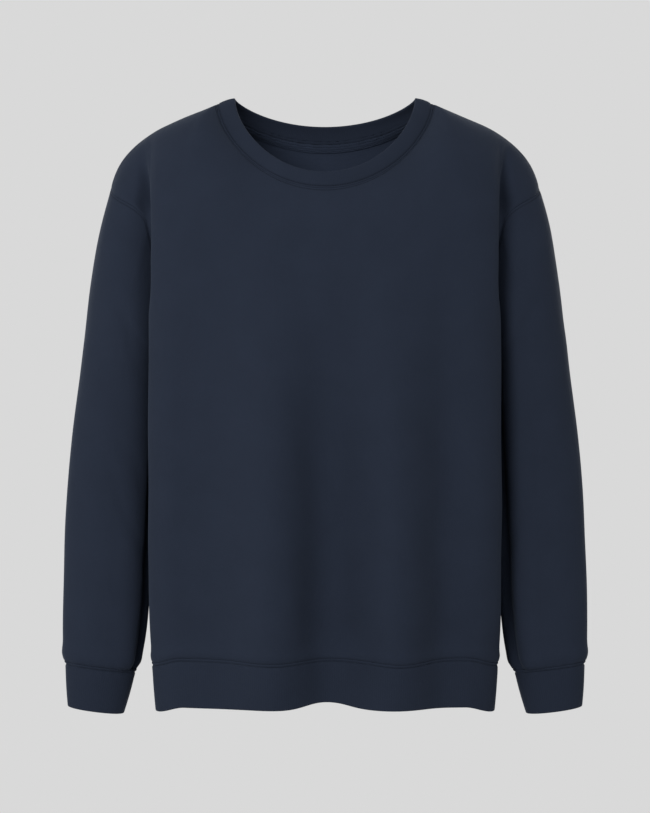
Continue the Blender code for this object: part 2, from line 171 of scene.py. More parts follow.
def section_point(side, column, height):
    """Points of the left half of a level section: an oval to the side fold, and a turn to the seam."""
    body = torso_at(height)
    fold_y, centre_y = (body.front_fold, body.front) if side == "front" else (body.back_fold, body.back)
    neck_angle = math.asin(NECK_COLUMN_SHARE ** (NET_SQUARENESS / 2))
    near = np.arcsin((NECK_COLUMN_SHARE * np.minimum(column / NECK_COLUMNS, 1)) ** (NET_SQUARENESS / 2))
    beyond = (math.pi / 2 - neck_angle) * np.maximum(column - NECK_COLUMNS, 0) / CHEST_COLUMNS
    angle = np.minimum(near + beyond, math.pi / 2)
    power = 2 / body.squareness
    oval_x = body.half_width * np.sin(angle) ** power
    oval_y = fold_y + (centre_y - fold_y) * np.maximum(0, np.cos(angle)) ** power

    low = torso_at(np.minimum(height, ARMPIT_Z))
    share = np.maximum(0, (height - ARMPIT_Z) / (SHOULDER_Z - ARMPIT_Z))
    hole = ARMHOLE[side]
    seam_x = low.side_x + (hole.turn_x - low.side_x) * share**hole.lean
    seam_y = low.side_y + (hole.turn_y - low.side_y) * share**hole.round
    span = seam_y - fold_y
    turn = math.pi / 2 * share**TURN_LATENESS
    arrive = np.abs(span) * (HOLLOW[1] + (HOLLOW[0] - HOLLOW[1]) * share)
    corners = (
        (body.half_width, fold_y),
        (body.half_width, fold_y + HOLLOW[0] * span),
        (seam_x - arrive * np.sin(turn), seam_y - np.sign(span) * arrive * np.cos(turn)),
        (seam_x, seam_y),
    )
    past = np.clip((column - FOLD_COLUMN) / FOLD_COLUMNS, 0, 1)
    hollow = bezier([np.stack(corner, axis=-1) for corner in corners], past)
    inside = column <= FOLD_COLUMN
    x = np.where(inside, oval_x, hollow[..., 0])
    y = np.where(inside, oval_y, hollow[..., 1])
    return np.stack([x, y, height], axis=-1)


def neckline_point(line, turn):
    """Points of a neckline: turn is 0 at the centre line and 1 at the neck point."""
    angle = np.asarray(turn, float) * math.pi / 2
    level = np.maximum(0.0, np.cos(angle))
    y = line.side_y + (line.centre_y - line.side_y) * level
    z = line.side_z + (line.centre_z - line.side_z) * level**line.sweep
    return np.stack([line.half_width * np.sin(angle), y, z], axis=-1)


def over_shoulder(side, column, rows, start):
    """The top of each column, which turns in over the shoulder or the chest. rows run from 0 to 6."""
    neck = neckline_point(NECK_SEAM[side], np.minimum(column / NECK_COLUMNS, 1))
    seam = bezier(SHOULDER_SEAM, np.clip((column - NECK_COLUMNS) / (COLUMNS - NECK_COLUMNS), 0, 1))
    top = np.where((column <= NECK_COLUMNS)[..., None], neck, seam)
    centre_turn, shoulder_turn = (math.radians(turn) for turn in TOP_TURN[side])
    full = centre_turn + (shoulder_turn - centre_turn) * ease(column / (NECK_COLUMNS + 1))
    rounding = ease((column - FOLD_COLUMN) / FOLD_COLUMNS)
    slope = SHOULDER_SLOPE * np.minimum(1.0, column / NECK_COLUMNS) ** 2
    run = top - start
    share = 1 - (1 - rows / SHOULDER_ROWS) ** SHOULDER_CROWDING
    inward = (1 - np.cos(full * share)) / (1 - np.cos(full))
    upward = np.sin(full * share) / np.sin(full)
    upward = upward + rounding * (share**ARMHOLE_RISE - upward)
    outward = share + rounding * (np.sin(math.pi / 2 * share) - share)
    across = run[..., 0] * np.where(run[..., 0] > 0, outward, share**LEAN_IN)
    rise = (run[..., 2] - slope * run[..., 0]) * upward + slope * across
    return start + np.stack([across, run[..., 1] * inward, rise], axis=-1)


shoulder_seam = bezier(SHOULDER_SEAM, np.linspace(0, 1, 40))
shoulder_length = np.linalg.norm(np.diff(shoulder_seam, axis=0), axis=1).sum()
print("shoulder seam", round(float(shoulder_length), 3), "m long")

# %% [markdown]
# ## Where the net is fine
#
# Most of a panel is calm, and a face of about 5 mm is enough there. Near a seam the cloth rolls and the
# needle pulls a fine groove, so the last few millimetres have faces under 1 mm. Short lists of places
# along a row and a column say this, and the sleeve takes the same places round its armhole, so that the
# two edges match point for point.

# %% Places of the rows and columns


def places(*stretches):
    """Places along a line, from stretches of (start, end, number of steps)."""
    runs = [np.linspace(start, end, steps + 1)[1:] for start, end, steps in stretches]
    return np.concatenate([[stretches[0][0]], *runs])


def index_of(stations, value):
    return int(np.flatnonzero(stations == value)[0])


ROW_AT = places(
    (0, 0.12, 8),
    (0.12, 0.4, 7),
    (0.4, 8.8, 56),
    (8.8, 9, 5),
    (9, 9.2, 5),
    (9.2, 14, 32),
    (14, 19, 30),
    (19, 20, 11),
)
HALF_COLUMN_AT = places((0, 8, 38), (8, 12, 18), (12, 15.6, 22), (15.6, 16, 7))
COLUMN_AT = np.concatenate([-HALF_COLUMN_AT[:0:-1], HALF_COLUMN_AT])
NECK = slice(index_of(COLUMN_AT, -NECK_COLUMNS), index_of(COLUMN_AT, NECK_COLUMNS) + 1)
ARMPIT_ROW = index_of(ROW_AT, SIDE_ROWS)
print("panel net:", len(ROW_AT), "rows x", len(COLUMN_AT), "columns")

# %% [markdown]
# ## Soft upright folds
#
# The body hangs from the shoulders, so its folds are upright, grow towards the hem and die out near the
# chest. Each one is a row of a table, and is upright and straight here. The long creases that are added
# below let it lean and bend. The hem seam dips on a ridge, and the band is pulled shorter below the big
# folds, most of all in the troughs.

# %% Folds, and a panel
Fold = namedtuple("Fold", "centre width height top seam_drop band_loss")
FOLDS = {
    "front": (
        Fold(-0.063, 0.036, 0.0115, -0.17, 0.0025, 0.0032),
        Fold(0.001, 0.030, -0.0100, -0.22, -0.0008, 0.0066),
        Fold(0.086, 0.032, 0.0105, -0.17, 0.0036, 0.0038),
        Fold(0.134, 0.026, -0.0055, -0.26, 0.0000, 0.0000),
        Fold(-0.132, 0.032, -0.0030, -0.20, 0.0000, 0.0000),
    ),
    "back": (
        Fold(-0.112, 0.030, -0.0050, -0.30, 0.0000, 0.0000),
        Fold(-0.052, 0.034, 0.0090, -0.20, 0.0015, 0.0010),
        Fold(0.018, 0.030, -0.0085, -0.24, -0.0030, 0.0040),
        Fold(0.080, 0.036, 0.0100, -0.18, 0.0020, 0.0010),
        Fold(0.136, 0.026, -0.0045, -0.28, 0.0000, 0.0000),
    ),
}
FRONT_RISE = 0.0072
FOLD_REACH = (0.162, 0.197)
HEM_REACH = 0.10


def folded(side, points):
    """The points with the folds pushed out or in, and the hem seam raised and lowered by them."""
    points = points.copy()
    x, z = points[..., 0].copy(), points[..., 2].copy()
    near, far = FOLD_REACH
    across = 1 - ease((abs(x) - near) / (far - near))
    hem = 1 - ease((z - HEM_SEAM_Z) / HEM_REACH)
    outward = -1.0 if side == "front" else 1.0
    lift = FRONT_RISE * across * hem
    for fold in FOLDS[side]:
        shape = np.exp(-(((x - fold.centre) / fold.width) ** 2)) * across
        points[..., 1] += outward * fold.height * shape * ease((fold.top - z) / (fold.top - HEM_SEAM_Z))
        lift = lift - fold.seam_drop * shape * hem
    points[..., 2] += lift
    return points


def panel(side):
    """The net of the front or back: rows from the hem seam up, columns from the wearer's right."""
    rows, columns = np.meshgrid(ROW_AT, abs(COLUMN_AT), indexing="ij")
    start_z = SHOULDER_Z - CENTRE_DIP * np.maximum(0.0, 1 - columns / FOLD_COLUMN)
    low_z = HEM_SEAM_Z + (ARMPIT_Z - HEM_SEAM_Z) * rows / SIDE_ROWS
    middle = np.clip((rows - SIDE_ROWS) / ARMHOLE_ROWS, 0, 1)
    height = np.where(rows < SIDE_ROWS, low_z, ARMPIT_Z + (start_z - ARMPIT_Z) * middle**ARMHOLE_CROWDING)
    points = section_point(side, columns, height)
    top_rows = np.maximum(0, rows - SIDE_ROWS - ARMHOLE_ROWS)
    start = section_point(side, columns, start_z)
    points = np.where((top_rows > 0)[..., None], over_shoulder(side, columns, top_rows, start), points)
    points[..., 0] *= np.sign(COLUMN_AT)
    return folded(side, points)


front, back = panel("front"), panel("back")
print("front spans", np.ptp(front.reshape(-1, 3), axis=0).round(3), "m")

# %% [markdown]
# ## Sleeves, bands and cuffs
#
# A sleeve starts as the armhole ring and passes through a ring in the slanting plane of each row of its
# table. A band runs from its seam to its free edge. Rib knit is elastic and cut shorter than what it is
# sewn to, so the cuffs are narrower than the sleeves.

# %% Tables of the sleeves and bands
Sleeve = namedtuple("Sleeve", "outer_x outer_z inner_x inner_z middle_y half_depth")
SLEEVE = (
    Sleeve(0.2610, -0.148, 0.1880, -0.288, 0.015, 0.052),
    Sleeve(0.2700, -0.203, 0.1905, -0.303, 0.018, 0.053),
    Sleeve(0.2775, -0.260, 0.1918, -0.326, 0.019, 0.050),
    Sleeve(0.2850, -0.320, 0.1930, -0.358, 0.019, 0.046),
    Sleeve(0.2932, -0.386, 0.1950, -0.406, 0.018, 0.042),
    Sleeve(0.2980, -0.442, 0.1970, -0.455, 0.016, 0.039),
    Sleeve(0.3012, -0.510, 0.1998, -0.518, 0.014, 0.036),
    Sleeve(0.3025, -0.572, 0.2025, -0.578, 0.012, 0.034),
    Sleeve(0.3020, -0.622, 0.2085, -0.628, 0.010, 0.032),
    Sleeve(0.2992, -0.644, 0.2187, -0.654, 0.009, 0.029),
)
CUFF_EDGE = Sleeve(0.2965, -0.6930, 0.2318, -0.7015, 0.007, 0.0250)
SLEEVE_SQUARENESS = 2.1
SLEEVE_ROW_AT = places((0, 0.16, 12), (0.16, 9.5, 102), (9.5, 9.82, 6), (9.82, 10, 8))
HEM_HEIGHT = 0.0522
HEM_DRAW_IN = 0.020
HEM_MIDDLE_Y = 0.004
BAND_FINE, BAND_FINE_ROWS, BAND_ROW = 0.004, 8, 0.002
UNDERARM = len(ROW_AT) - 1 - ARMPIT_ROW


def sleeve_ring(section):
    """A closed ring in the slanting plane of one section, from its outer line round by the front."""
    steps = ROWS - SIDE_ROWS
    turn = np.concatenate([ROWS - ROW_AT[ARMPIT_ROW:][::-1], steps + ROW_AT[ARMPIT_ROW:][1:] - SIDE_ROWS])
    angle = math.pi * turn / steps
    power = 2 / SLEEVE_SQUARENESS
    across = np.sign(np.cos(angle)) * np.abs(np.cos(angle)) ** power
    depth = np.sign(np.sin(angle)) * np.abs(np.sin(angle)) ** power
    outer = np.array([section.outer_x, section.middle_y, section.outer_z])
    inner = np.array([section.inner_x, section.middle_y, section.inner_z])
    ring = (outer + inner) / 2 + (outer - inner) / 2 * across[:, None]
    ring[:, 1] -= section.half_depth * depth
    return ring


def sleeve(front, back):
    """Rows from the armhole down to the cuff seam, on the wearer's left."""
    armhole = np.concatenate([front[ARMPIT_ROW:, -1][::-1], back[ARMPIT_ROW + 1 :, -1]])
    rings = np.array([armhole] + [sleeve_ring(section) for section in SLEEVE])
    return through(range(len(rings)), rings, SLEEVE_ROW_AT)


def mirrored(net):
    return net * [-1, 1, 1]


def ring_of(front_row, back_row):
    """A closed ring: across the front from the wearer's right, and back across the back."""
    return np.concatenate([front_row, back_row[::-1][1:]])


def neck_edge():
    turns = abs(COLUMN_AT[NECK]) / NECK_COLUMNS
    rows = [neckline_point(NECK_EDGE[side], turns) for side in ("front", "back")]
    for row in rows:
        row[:, 0] *= np.sign(COLUMN_AT[NECK])
    return ring_of(*rows)


def band_net(seam, edge):
    """Rows across a band from its seam to its free edge, closer together beside the seam."""
    length = float(np.linalg.norm(edge - seam, axis=1).mean())
    fine = BAND_FINE / length
    shares = places((0, fine, BAND_FINE_ROWS), (fine, 1, round(length / BAND_ROW)))
    return seam + (edge - seam) * shares[:, None, None]


def hem_edge(seam):
    edge = seam * [1 - HEM_DRAW_IN, 1 - HEM_DRAW_IN, 1]
    edge[:, 2] -= HEM_HEIGHT
    for side, here in (("front", seam[:, 1] < HEM_MIDDLE_Y), ("back", seam[:, 1] >= HEM_MIDDLE_Y)):
        for fold in FOLDS[side]:
            edge[:, 2] += here * fold.band_loss * np.exp(-(((edge[:, 0] - fold.centre) / fold.width) ** 2))
    return edge


left_sleeve = sleeve(front, back)
right_sleeve = mirrored(sleeve(mirrored(front)[:, ::-1], mirrored(back)[:, ::-1]))
hem_seam = ring_of(front[0], back[0])
hem = band_net(hem_seam, hem_edge(hem_seam))
neckband = band_net(ring_of(front[-1, NECK], back[-1, NECK]), neck_edge())
left_cuff = band_net(left_sleeve[-1], sleeve_ring(CUFF_EDGE))
right_cuff = band_net(right_sleeve[-1], mirrored(sleeve_ring(CUFF_EDGE)))
print("nets:", left_sleeve.shape[:2], hem.shape[:2], neckband.shape[:2], left_cuff.shape[:2])

# %% [markdown]
# ## Smaller forms in the cloth
#
# Three things make the difference between a tube and cloth: a seam pulls a narrow groove and the cloth
# swells beside it, a few soft creases run where the arm bends away from the body, and no surface is
# perfectly even. Each is a height that moves the net along its outward direction. A height that depends
# only on the place in space is the same on both sides of a seam, so the pieces keep meeting.

# %% Heights


def lengths(net, axis):
    """The distance of each point along the cloth from the first row (axis 0) or column (axis 1)."""
    steps = np.linalg.norm(np.diff(net, axis=axis), axis=-1)
    return np.insert(np.cumsum(steps, axis=axis), 0, 0.0, axis=axis)


def bump(distance, width):
    return np.exp(-((distance / width) ** 2))


Crease = namedtuple("Crease", "start end width height bow")
CREASE_FADE = 0.35


def crease_height(crease, x, z):
    """A soft ridge or trough between two places of a flat view, with thin ends and a slight bow."""
    start, end = np.array(crease.start), np.array(crease.end)
    along = unit(end - start)
    length = np.linalg.norm(end - start)
    run = ((x - start[0]) * along[0] + (z - start[1]) * along[1]) / length
    off = (x - start[0]) * -along[1] + (z - start[1]) * along[0] - crease.bow * 4 * run * (1 - run)
    ends = ease(run / CREASE_FADE) * ease((1 - run) / CREASE_FADE)
    return crease.height * bump(off, crease.width) * ends


def unevenness(points):
    """Slow waves of under a millimetre, different in every direction, from a few sines at odd angles."""
    x, y, z = np.moveaxis(points, -1, 0)
    waves = 0.00042 * np.sin(41 * x + 13 * z + 2.1) * np.sin(17 * z - 23 * y + 0.4)
    waves += 0.00030 * np.sin(67 * x - 29 * z + 1.3 * np.sin(19 * z) + 1.0)
    waves += 0.00016 * np.sin(118 * x + 61 * y + 43 * z + 2.0 * np.sin(31 * x))
    return waves


PUCKER_HEIGHT, PUCKER_LENGTH = 0.00022, 0.0135
PUCKER_SWAY, PUCKER_SWAY_LENGTH = 1.7, 0.061


def puckers(distance, along, reach=0.010):
    """Small waves along a seam that die out within reach of it. Their spacing sways along the seam."""
    sway = PUCKER_SWAY * np.sin(along * 2 * math.pi / PUCKER_SWAY_LENGTH)
    return PUCKER_HEIGHT * np.sin(along * 2 * math.pi / PUCKER_LENGTH + sway) * bump(distance, reach)


print("a crease fades out over", CREASE_FADE, "of its length at each end")

# %% [markdown]
# A panel's creases lie in the front view, in x and z. Three kinds are made the same way. A narrow, deep
# one runs from the top of the shoulder down to the armpit, where the cloth of the chest and the cloth of
# the arm fold towards each other. Long, wide ones go down to the hem, make the big folds of the frame
# deeper and let them lean and bend. They start below the hem, so that they are still deep at it, and run
# on into the hem band at about half their height. The rest are broad drag lines about a millimetre high,
# which only show when the light comes from the side.

# %% Heights of the front and back
SEAM_DIP, GATHERED_DIP, NECK_DIP = 0.0004, 0.0010, 0.0001
SEAM_REACH, STITCH_REACH = 0.0014, 0.0008
NECK_STITCH, ARMHOLE_STITCH, BAND_STITCH = 0.0023, 0.0033, 0.0038
STITCH_DIP, ARMHOLE_STITCH_DIP = 0.0008, 0.0005
EDGE_CALM, HEM_CALM = 0.006, 0.004
HEM_SHARE, HEM_FADE = 0.55, 0.022
NECK_CHANGE = 0.4

Swell = namedtuple("Swell", "height distance width")
HEM_SWELL, CUFF_SWELL = Swell(0.0012, 0.0105, 0.006), Swell(0.0019, 0.0125, 0.009)
BODY_CREASES = {
    "front": (
        Crease((-0.2095, -0.042), (-0.2020, -0.250), 0.0055, -0.0130, 0.0000),
        Crease((-0.2150, -0.030), (-0.2060, -0.190), 0.0130, -0.0035, 0.0000),
        Crease((-0.195, -0.060), (-0.188, -0.230), 0.0120, 0.0014, 0.000),
        Crease((0.2095, -0.036), (0.2018, -0.250), 0.0052, -0.0130, 0.0000),
        Crease((0.2150, -0.035), (0.2060, -0.190), 0.0110, -0.0028, 0.0000),
        Crease((0.193, -0.070), (0.188, -0.230), 0.0120, 0.0010, 0.000),
        Crease((-0.190, -0.215), (-0.105, -0.150), 0.0200, -0.0010, 0.006),
        Crease((0.190, -0.230), (0.115, -0.165), 0.0180, -0.0009, -0.006),
        Crease((-0.110, -0.770), (-0.130, -0.100), 0.0275, -0.0058, 0.0090),
        Crease((-0.038, -0.860), (-0.060, -0.110), 0.0320, 0.0078, 0.0040),
        Crease((0.016, -0.850), (-0.002, -0.240), 0.0315, -0.0150, -0.0020),
        Crease((0.068, -0.840), (0.063, -0.125), 0.0220, 0.0066, -0.0040),
        Crease((0.099, -0.850), (0.089, -0.160), 0.0220, 0.0042, 0.0020),
        Crease((0.138, -0.854), (0.134, -0.110), 0.0255, -0.0098, -0.0050),
        Crease((-0.154, -0.720), (-0.160, -0.190), 0.0190, -0.0040, 0.0000),
    ),
    "back": (
        Crease((-0.2095, -0.042), (-0.2020, -0.240), 0.0048, -0.0080, 0.0000),
        Crease((-0.2150, -0.032), (-0.2060, -0.190), 0.0130, -0.0030, 0.0000),
        Crease((0.2092, -0.046), (0.2015, -0.240), 0.0048, -0.0082, 0.0000),
        Crease((0.2150, -0.034), (0.2060, -0.190), 0.0120, -0.0030, 0.0000),
        Crease((-0.185, -0.200), (-0.090, -0.120), 0.0220, -0.0014, 0.008),
        Crease((0.188, -0.215), (0.100, -0.140), 0.0200, -0.0012, -0.006),
        Crease((-0.112, -0.840), (-0.106, -0.210), 0.0180, -0.0042, 0.0030),
        Crease((-0.058, -0.820), (-0.072, -0.170), 0.0200, 0.0034, -0.0020),
        Crease((0.020, -0.860), (0.008, -0.200), 0.0170, -0.0052, 0.0020),
        Crease((0.082, -0.840), (0.090, -0.160), 0.0200, 0.0036, -0.0020),
        Crease((0.135, -0.800), (0.130, -0.230), 0.0180, -0.0038, 0.0020),
    ),
}


def swollen(swell, distance):
    """The soft swelling of the cloth beside a gathered seam."""
    return swell.height * bump(distance - swell.distance, swell.width)


def drape(side, net):
    """The height of all creases of the front or the back."""
    return sum(crease_height(crease, net[..., 0], net[..., 2]) for crease in BODY_CREASES[side])


def panel_height(side, net):
    height = unevenness(net)
    up, across = lengths(net, 0), lengths(net, 1)
    from_hem, from_top, from_side = up, up[-1] - up, np.minimum(across, across[:, -1:] - across)
    creases, at_hem = drape(side, net), bump(from_hem, HEM_FADE)
    height = height + creases * (1 - at_hem)
    height = height * (1 - bump(from_side, EDGE_CALM)) * (1 - bump(from_top, EDGE_CALM))
    height = height * (1 - bump(from_hem, HEM_CALM)) + HEM_SHARE * creases * at_hem
    hem_groove = GATHERED_DIP * bump(from_hem, SEAM_REACH)
    hem_groove = hem_groove + STITCH_DIP * bump(from_hem - BAND_STITCH, STITCH_REACH)
    height = height + swollen(HEM_SWELL, from_hem) - hem_groove + puckers(from_hem, across)
    neck_groove = NECK_DIP * bump(from_top, SEAM_REACH)
    neck_groove = neck_groove + STITCH_DIP * bump(from_top - NECK_STITCH, STITCH_REACH)
    past_neck = abs(COLUMN_AT) - NECK_COLUMNS + NECK_CHANGE / 2
    neck = 1 - ease(past_neck / NECK_CHANGE)[None, :]
    height = height - neck * neck_groove - (1 - neck) * SEAM_DIP * bump(from_top, SEAM_REACH)
    return height - SEAM_DIP * bump(from_side, SEAM_REACH)


print("creases:", {side: len(rows) for side, rows in BODY_CREASES.items()})

# %% [markdown]
# The sleeve's creases are placed by how far they are down the sleeve, in metres from the armhole, and by
# the angle round it, in turns from the outer line by the front. Three long ones run all the way down the
# inner side, which hangs against the body. Most of the others lie at the elbow and just above the cuff,
# where a sleeve that is longer than the arm comes to rest. Those stay soft and shallow.

# %% Heights of the sleeves and bands
SLEEVE_CREASES = (
    Crease((0.345, -0.100), (0.350, 0.680), 0.020, 0.0036, 0.004),
    Crease((0.435, -0.200), (0.425, 0.720), 0.010, -0.0085, 0.000),
    Crease((0.600, -0.180), (0.605, 0.700), 0.011, -0.0070, 0.000),
    Crease((0.10, 0.060), (0.32, 0.150), 0.016, -0.0010, 0.006),
    Crease((0.02, 0.150), (0.22, 0.230), 0.022, 0.0010, 0.006),
    Crease((0.14, 0.250), (0.38, 0.215), 0.015, -0.0009, 0.006),
    Crease((0.20, 0.300), (0.47, 0.285), 0.014, -0.0011, 0.006),
    Crease((0.52, 0.235), (0.80, 0.275), 0.015, -0.0017, 0.006),
    Crease((0.58, 0.310), (0.86, 0.300), 0.014, -0.0015, 0.006),
    Crease((0.03, 0.395), (0.30, 0.440), 0.018, 0.0010, 0.006),
    Crease((0.28, 0.480), (0.52, 0.455), 0.014, -0.0012, 0.006),
    Crease((0.62, 0.450), (0.93, 0.490), 0.015, -0.0014, 0.006),
    Crease((0.70, 0.110), (0.92, 0.190), 0.018, -0.0015, 0.006),
)
GIRTH = 0.30
SHIFT_ROUND, SHIFT_START, SHIFT_END = 0.03, 0.012, -0.009
CUFF_PUCKERS, BAND_PUCKER_REACH = 1.8, 0.007
BAND_UNEVENNESS = 0.5


def shifted(crease, shift):
    """A sleeve's crease, in metres round the sleeve and down it, moved a little."""
    start = (GIRTH * (crease.start[0] + SHIFT_ROUND * shift), crease.start[1] + SHIFT_START * shift)
    end = (GIRTH * (crease.end[0] + SHIFT_ROUND * shift), crease.end[1] + SHIFT_END * shift)
    return crease._replace(start=start, end=end)


def sleeve_height(net, shift):
    """Heights of a sleeve. shift moves the creases, so that the two sleeves aren't twins."""
    down, around = lengths(net, 0), lengths(net, 1)
    to_cuff = down[-1] - down
    height = unevenness(net)
    for crease in SLEEVE_CREASES:
        height = height + crease_height(shifted(crease, shift), GIRTH * around / around[:, -1:], down)
    height = height * (1 - bump(down, EDGE_CALM)) * (1 - bump(to_cuff, HEM_CALM))
    height = height + swollen(CUFF_SWELL, to_cuff) - GATHERED_DIP * bump(to_cuff, SEAM_REACH)
    height = height - STITCH_DIP * bump(to_cuff - BAND_STITCH, STITCH_REACH)
    height = height - SEAM_DIP * bump(down, SEAM_REACH)
    height = height - ARMHOLE_STITCH_DIP * bump(down - ARMHOLE_STITCH, STITCH_REACH)
    underarm = around - around[:, UNDERARM : UNDERARM + 1]
    return height + CUFF_PUCKERS * puckers(to_cuff, around) - SEAM_DIP * bump(underarm, SEAM_REACH)


def band_height(net, crown, dip, stitch=0.0):
    """Heights of a band: a low crown across it, a groove at its seam and, if any, one for its stitches."""
    down, around = lengths(net, 0), lengths(net, 1)
    height = unevenness(net) * BAND_UNEVENNESS * (1 - bump(down, EDGE_CALM))
    height = height + crown * np.sin(math.pi * down / down[-1]) - dip * bump(down, SEAM_REACH)
    height = height - stitch * bump(down - NECK_STITCH, STITCH_REACH)
    return height + puckers(down, around, BAND_PUCKER_REACH)


print("sleeve creases:", len(SLEEVE_CREASES), "each side")

# %% [markdown]
# ## Outward directions
#
# The outward direction at a point comes from the net itself: it is square to the row and to the column
# there. Where two pieces are sewn together they take the mean of their two directions, so that their
# walls lie side by side along the seam and don't cross.

# %% Directions, and edges drawn back from the seams
KEYS_PER_METRE = 1e5
Piece = namedtuple("Piece", "net facing closed sewn_rows sewn_columns")
pieces = {
    "front": Piece(front, 1, False, (0, -1), (0, -1)),
    "back": Piece(back, -1, False, (0, -1), (0, -1)),
    "sleeve_left": Piece(left_sleeve, 1, True, (0, -1), ()),
    "sleeve_right": Piece(right_sleeve, -1, True, (0, -1), ()),
    "neckband": Piece(neckband, 1, True, (0,), ()),
    "hem_band": Piece(hem, -1, True, (0,), ()),
    "cuff_left": Piece(left_cuff, 1, True, (0,), ()),
    "cuff_right": Piece(right_cuff, -1, True, (0,), ()),
}


def along_rows(net, closed):
    if closed:
        net = np.concatenate([net[:, -2:-1], net, net[:, 1:2]], axis=1)
        return net[:, 2:] - net[:, :-2]
    return np.gradient(net, axis=1)


def directions(piece, net):
    across, lengthwise = unit(along_rows(net, piece.closed)), unit(np.gradient(net, axis=0))
    return unit(np.cross(across, lengthwise)) * piece.facing


def sewn_edges():
    """Every sewn edge, with a key for each of its points that is the same in the piece next to it."""
    for name, piece in pieces.items():
        lines = [(row, slice(None)) for row in piece.sewn_rows]
        lines += [(slice(None), column) for column in piece.sewn_columns]
        for line in lines:
            keys = np.round(piece.net[line] * KEYS_PER_METRE).astype(int)
            yield name, line, [tuple(key) for key in keys]


def meeting(values):
    """The values, with the mean of all pieces wherever their sewn edges meet."""
    total, count = {}, {}
    for name, line, keys in sewn_edges():
        for key, value in zip(keys, values[name][line]):
            total[key], count[key] = total.get(key, 0) + value, count.get(key, 0) + 1
    for name, line, keys in list(sewn_edges()):
        values[name][line] = np.array([total[key] / count[key] for key in keys])
    return values


def drawn_back(piece, net, normals):
    """The net with its sewn edges drawn back, square to the seam and to the cloth's direction there."""
    made = net.copy()
    along = along_rows(net, piece.closed)
    for row in piece.sewn_rows:
        inside = piece.facing if row == 0 else -piece.facing
        made[row] += unit(np.cross(normals[row], along[row])) * inside * SEAM_GAP / 2
    for column in piece.sewn_columns:
        inside = piece.facing if column == 0 else -piece.facing
        upward = np.gradient(net[:, column], axis=0)
        made[:, column] += unit(np.cross(upward, normals[:, column])) * inside * SEAM_GAP / 2
    return made


print("pieces with seams:", ", ".join(pieces))

# %% [markdown]
# The heights are added along the first directions, and then the directions are found again from the new
# form. In both rounds the sewn edges take the mean of the pieces that meet there, so no slot opens
# between them.

# %% The finished outer nets
on_front = hem[..., 1] < HEM_MIDDLE_Y
hem_folds = HEM_SHARE * np.where(on_front, drape("front", hem), drape("back", hem))
heights = {
    "front": panel_height("front", front),
    "back": panel_height("back", back),
    "sleeve_left": sleeve_height(left_sleeve, 0),
    "sleeve_right": sleeve_height(right_sleeve, 1),
    "neckband": band_height(neckband, crown=0.0012, dip=NECK_DIP, stitch=STITCH_DIP),
    "hem_band": band_height(hem, crown=0.0004, dip=GATHERED_DIP) + hem_folds,
    "cuff_left": band_height(left_cuff, crown=0.0006, dip=GATHERED_DIP),
    "cuff_right": band_height(right_cuff, crown=0.0006, dip=GATHERED_DIP),
}
first = {name: directions(piece, piece.net) for name, piece in pieces.items()}
first = {name: unit(values) for name, values in meeting(first).items()}
shaped = {name: piece.net + first[name] * heights[name][..., None] for name, piece in pieces.items()}
shaped = meeting(shaped)
normals = meeting({name: directions(piece, shaped[name]) for name, piece in pieces.items()})
normals = {name: unit(values) for name, values in normals.items()}
outer = {name: drawn_back(piece, shaped[name], normals[name]) for name, piece in pieces.items()}
print("deepest crease", round(1000 * float(-heights["front"].min()), 1), "mm")

# %% [markdown]
# ## Knit materials
#
# Both cloths are the same navy yarn. Fleece shows the small V stitches of plain jersey on its outer face,
# in columns a little over 1 mm apart. Rib shows upright ridges. At arm's length both melt into a soft,
# matt, slightly hairy surface. The stitches could be modelled, but there are hundreds of thousands, so
# the pattern is only a fine bump, and a weak sheen stands for the hairs. The pattern reads the piece's
# own UV map, which is laid out in metres of cloth, so it follows every fold.

# %% Material helpers
NAVY = (0.0122, 0.0164, 0.0272)
WALE, COURSE = 0.00125, 0.00095
RIB_PITCH = 0.0026
V_SLANT = 1.1
JERSEY_STITCH, RIB_STITCH = 0.35, 0.10
JERSEY_ROUNDNESS, RIB_ROUNDNESS = 0.5, 0.7
HAIR_SCALE, LUMP_SCALE, PATCH_SCALE = 1400.0, 260.0, 28.0

Relief = namedtuple("Relief", "strength depth")
KNIT_RELIEF, LUMP_RELIEF, HAIR_RELIEF = Relief(0.35, 0.00035), Relief(0.30, 0.0008), Relief(0.35, 0.0005)


def wire(material, kind, inputs=(), **settings):
    """A shader node with its settings, and its inputs wired to other nodes or set to values."""
    node = material.node_tree.nodes.new(kind)
    for name, value in settings.items():
        setattr(node, name, value)
    for socket, value in dict(inputs).items():
        if isinstance(value, bpy.types.NodeSocket):
            material.node_tree.links.new(value, node.inputs[socket])
        else:
            node.inputs[socket].default_value = value
    return node


def sums(material):
    """A short way to write arithmetic in a material."""

    def do(operation, a, b=0.0, c=0.0):
        return wire(material, "ShaderNodeMath", {0: a, 1: b, 2: c}, operation=operation).outputs[0]

    return do


def noise(material, scale, detail):
    place = wire(material, "ShaderNodeTexCoord").outputs["Object"]
    inputs = {"Vector": place, "Scale": scale, "Detail": detail}
    return wire(material, "ShaderNodeTexNoise", inputs).outputs["Fac"]


def raised(material, height, relief, below=None):
    """A bump, laid over the bump below it."""
    inputs = {"Height": height, "Strength": relief.strength, "Distance": relief.depth}
    if below:
        inputs["Normal"] = below
    return wire(material, "ShaderNodeBump", inputs).outputs["Normal"]


